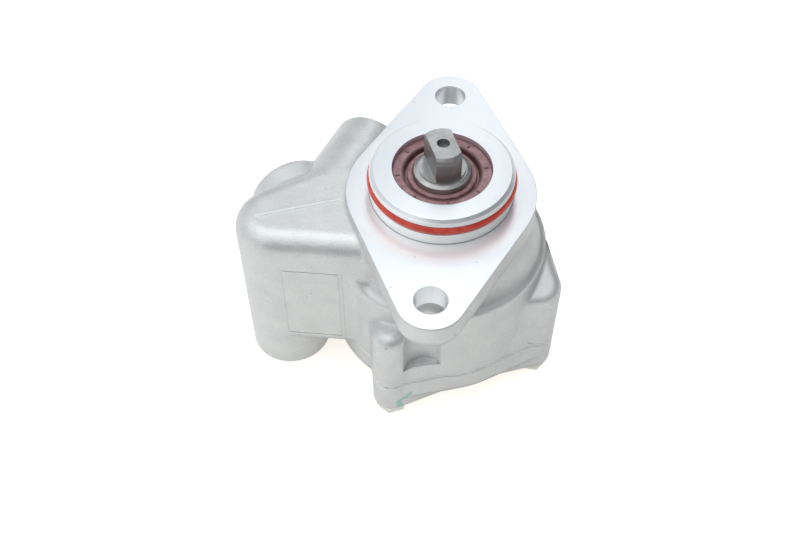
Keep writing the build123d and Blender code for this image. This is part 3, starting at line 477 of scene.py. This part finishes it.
# Painted shade: a dark ring over the groove outside the lip; the same dark colour also draws the ticks on the
# face.
lip_groove_shade = radius.over(0.0152, 0.0158) * radius.under(0.0170, 0.0175)
turn = finish.y.math("ARCTAN2", finish.x) + (2 * math.pi + tick_step / 2 - tick_first)
tick_line = turn.math("MODULO", tick_step).within(tick_step / 2, 0.022, 0.04)
ticks = tick_line * radius.over(0.0176, 0.0179) * radius.under(0.0196, 0.0199)
seal_colour = bloom.over(0.35, 0.7).mix(seal_dark, seal_light)
seal_colour = (lip_groove_shade * 0.75).mix(seal_colour, seal_groove_shade_and_ticks)
seal_colour = (ticks * 0.65).mix(seal_colour, seal_groove_shade_and_ticks)
mould_lines = finish.noise(0.0004, 2.0, 0.6, finish.around_shaft())
seal_normal = finish.bump(mould_lines * 0.5 + finish.noise(0.0006), 0.00002, finish.rounded(0.0003))
oil_film = {"Coat Weight": 0.25, "Coat Roughness": 0.12}
dress(["shaft_seal"], finish.close(seal_colour, 0.30 + bloom * 0.16, 0.0, seal_normal, **oil_film))
dark_steel = plain_metal("dark_steel", (0.10, 0.10, 0.11), (0.18, 0.18, 0.19), 0.42, 0.0006)
dress(["seal_case"], dark_steel)
dress(["garter_spring"], spring_steel)


# The spigot carries a red rubber cord ring in its groove, shown as it is before the pump is
# fitted: round, oiled, a little proud of the groove, with the moulding line still on it.
def wound_wire():
    """A Geometry Nodes tree that winds a round wire or cord into a coil with closed ends."""
    group = bpy.data.node_groups.new("wound_wire", "GeometryNodeTree")
    add_socket = group.interface.new_socket
    add_socket("Geometry", in_out="OUTPUT", socket_type="NodeSocketGeometry")
    add_socket("Geometry", in_out="INPUT", socket_type="NodeSocketGeometry")
    for kind, names in (("Float", ("Turns", "Radius", "Length", "Wire radius", "End closing")),
                        ("Bool", ("Closed loop",)), ("Int", ("Steps a turn", "Sides")),
                        ("Material", ("Finish",))):
        for name in names:
            add_socket(name, in_out="INPUT", socket_type="NodeSocket" + kind)
    wire = Wire(group)
    source = wire.node("NodeGroupInput").socket.node

    def given(name):
        return Wire(group, source.outputs[name])

    spiral = wire.node("GeometryNodeCurveSpiral", values={
        "Resolution": given("Steps a turn"), "Rotations": given("Turns"),
        "Start Radius": given("Radius"), "End Radius": given("Radius"), "Height": given("Length")})
    share = wire.node("GeometryNodeSplineParameter", output="Factor")
    closing = (share * (2 * math.pi)).math("SINE") * given("End closing") * -1.0
    lift = wire.node("ShaderNodeCombineXYZ", values={"Z": closing})
    spaced = wire.node("GeometryNodeSetPosition", values={"Geometry": spiral, "Offset": lift})
    circle = wire.node("GeometryNodeCurvePrimitiveCircle", values={
        "Resolution": given("Steps a turn"), "Radius": given("Radius")})
    path = wire.node("GeometryNodeSwitch", {"input_type": "GEOMETRY"}, {
        "Switch": given("Closed loop"), "False": spaced, "True": circle})
    profile = wire.node("GeometryNodeCurvePrimitiveCircle", values={
        "Resolution": given("Sides"), "Radius": given("Wire radius")})
    tube = wire.node("GeometryNodeCurveToMesh", values={
        "Curve": path, "Profile Curve": profile, "Fill Caps": True})
    smooth = wire.node("GeometryNodeSetShadeSmooth", values={"Geometry": tube})
    realized = wire.node("GeometryNodeRealizeInstances", values={"Geometry": smooth})
    finished = wire.node("GeometryNodeSetMaterial", values={
        "Geometry": realized, "Material": given("Finish")})
    wire.node("NodeGroupOutput", values={"Geometry": finished})
    return group


wound_wire_tree = wound_wire()
wound_wire_inputs = {item.name: item.identifier for item in wound_wire_tree.interface.items_tree
                     if item.in_out == "INPUT"}


def wind(name, place, **inputs):
    """One coil or ring from the tree, as a plain mesh laid in its place in the pump."""
    holder = bpy.data.objects.new(name + "_holder", bpy.data.meshes.new(name + "_holder"))
    bpy.context.scene.collection.objects.link(holder)
    modifier = holder.modifiers.new("wound_wire", "NODES")
    modifier.node_group = wound_wire_tree
    for key, value in inputs.items():
        modifier[wound_wire_inputs[key.replace("_", " ").capitalize()]] = value
    bpy.context.view_layer.update()
    graph = bpy.context.evaluated_depsgraph_get()
    mesh = bpy.data.meshes.new_from_object(holder.evaluated_get(graph), depsgraph=graph)
    bpy.data.objects.remove(holder)
    mesh.transform(place)
    piece = bpy.data.objects.new(name, mesh)
    bpy.context.scene.collection.objects.link(piece)
    return piece


ring_cord_radius = 0.00205
ring_circle_radius = 0.02987
ring_low, ring_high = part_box("pilot_o_ring")
ring_z = (ring_low.z + ring_high.z) / 2
finish = Finish("red_rubber")
smear = finish.noise(0.004, 3.0)
red = smear.over(0.35, 0.7).mix((0.60, 0.045, 0.026, 1.0), (0.72, 0.085, 0.055, 1.0))
seam = finish.z.math("COMPARE", ring_z, 0.00012)
ring_normal = finish.bump(finish.noise(0.0007) + seam * 0.5, 0.00003)
red_rubber = finish.close(red, 0.28 + smear * 0.15, 0.0, ring_normal)
spigot_ring = wind(
    "spigot_ring", Matrix.Translation((0.0, 0.0, ring_z)), turns=1.0, radius=ring_circle_radius,
    length=0.0, wire_radius=ring_cord_radius, end_closing=0.0, closed_loop=True,
    steps_a_turn=180, sides=28, finish=red_rubber)
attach(spigot_ring, "housing_body")
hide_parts("pilot_o_ring")

# The pumping set drops into the housing from below: a sintered pressure plate, a hardened
# cam ring and rotor with ten vanes, and a second plate, all lined up by two dowels.
hardened_steel = plain_metal("hardened_steel", (0.42, 0.43, 0.44), (0.56, 0.57, 0.58), 0.26, 0.0004)
sintered_iron = plain_metal("sintered_iron", (0.26, 0.26, 0.26), (0.38, 0.38, 0.37), 0.45, 0.0003)
bush_bronze = plain_metal("bush_bronze", (0.44, 0.26, 0.12), (0.62, 0.40, 0.22), 0.30, 0.0006)
vanes = [name for name in frame["nodes"] if name.startswith("vane_")]
dress(["pressure_plate", "rear_side_plate"], sintered_iron)
dress(["cam_ring", "rotor", *vanes], hardened_steel)
dress(["dowel_pins"], bearing_steel)
dress(["plate_spring", "rotor_circlip"], spring_steel)
dress(["shaft_bush"], bush_bronze)

# Black rubber rings seal the pressure plate and the cover. They are drawn squeezed, as they
# lie in their grooves once the pump is closed.
finish = Finish("black_rubber")
bloom = finish.noise(0.003, 3.0)
black = bloom.over(0.35, 0.7).mix((0.012, 0.012, 0.012, 1.0), (0.030, 0.030, 0.030, 1.0))
rubber_normal = finish.bump(finish.noise(0.0006), 0.00002)
dress(["cover_o_ring", "plate_o_ring"], finish.close(black, 0.35 + bloom * 0.2, 0.0, rubber_normal))

# The rear cover is the same casting metal, machined only where it seals. A touch of teal
# marking paint and a few scuffs sit on its near lobes.
teal_paint = (0.17, 0.52, 0.45, 1.0)
paint_width = 0.0026
paint_start = (-0.0082, -0.0525, -0.0800)
paint_turn = (-0.01355, -0.05509, -0.0850)
paint_end = (-0.0120, -0.0543, -0.0905)
finish = Casting("cast_cover")
paint = finish.stroke(paint_start, paint_turn, paint_width).math(
    "MAXIMUM", finish.stroke(paint_turn, paint_end, paint_width))
brushed = finish.noise(0.0016, 3.0).over(0.24, 0.42)
finish.mark(paint * brushed, teal_paint, 0.6)
# Painted highlight: a pale band along the joint with the housing lightens the shade in the joint.
finish.mark(finish.z.within(joint_z, 0.0005, 0.0010), speck_and_highlight, 0.9)
cover_scratches = [
    ((-0.0205, -0.0559, -0.0729), (-0.0135, -0.0552, -0.0729), 0.0007, 0.6),
    ((0.0475, -0.0262, -0.0742), (0.0525, -0.0243, -0.0742), 0.0006, 0.5)]
for start, end, width, strength in cover_scratches:
    finish.mark(finish.stroke(start, end, width), scuff_dark, strength)
dress(["rear_cover"], finish.finished())

# Four flanged hexagon screws hold the cover, and a plug with a hexagon socket closes the
# valve bore on a bronze washer. Their pale zinc plate has dulled a little.
finish = Finish("zinc_plate")
dull = finish.noise(0.003, 3.0)
zinc = dull.over(0.3, 0.7).mix((0.74, 0.74, 0.71, 1.0), (0.88, 0.88, 0.85, 1.0))
zinc_normal = finish.bump(finish.noise(0.0006), 0.00002, finish.rounded(0.0004))
dress(["cover_screws", "valve_plug"], finish.close(zinc, 0.30 + dull * 0.15, 0.9, zinc_normal))
dress(["plug_washer"], bush_bronze)

# The flow valve is a hardened spool that slides against a coil spring. A small ball on a
# second spring inside it relieves the pressure. Both springs have closed ends.
dress(["flow_spool"], hardened_steel)
dress(["relief_ball"], bearing_steel)
dress(["relief_spring_seat"], pressed_brass)
dress(["spool_stop"], spring_steel)
valve_turn = math.radians(70.0)
valve_axis = Vector((math.cos(valve_turn), math.sin(valve_turn), 0.0))
spring_up = (-valve_axis).to_track_quat("Z", "Y").to_matrix().to_4x4()
end_gap = 0.00005
closed_pitch = 2.1
joint = {j["name"]: j for j in frame["joints"]}
valve_springs = [
    ("coiled_spool_spring", "spool_spring", "housing_body", "spool_slide",
     6.0, 0.0050, 0.0008, 0.0300),
    ("coiled_relief_spring", "relief_spring", "spool_body", "relief_slide",
     4.0, 0.0021, 0.0004, 0.00487)]
for name, node, body, slide, turns, radius, wire_radius, room in valve_springs:
    fixed_end = Vector(joint[slide]["deforming_nodes"][0]["fixed_end_m"])
    travel = joint[slide]["range_m"][1]
    rise = room - 2 * (wire_radius + end_gap)
    closed_rise = turns * wire_radius * closed_pitch
    place = Matrix.Translation(fixed_end - valve_axis * (wire_radius + end_gap)) @ spring_up
    spring = wind(
        name, place, turns=turns, radius=radius, length=rise, wire_radius=wire_radius,
        end_closing=max(rise - closed_rise, 0.0) / (2 * math.pi), closed_loop=False,
        steps_a_turn=40, sides=12, finish=spring_steel)
    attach(spring, body)
    1.0 - travel / room
    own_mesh(spring)
    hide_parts(node)
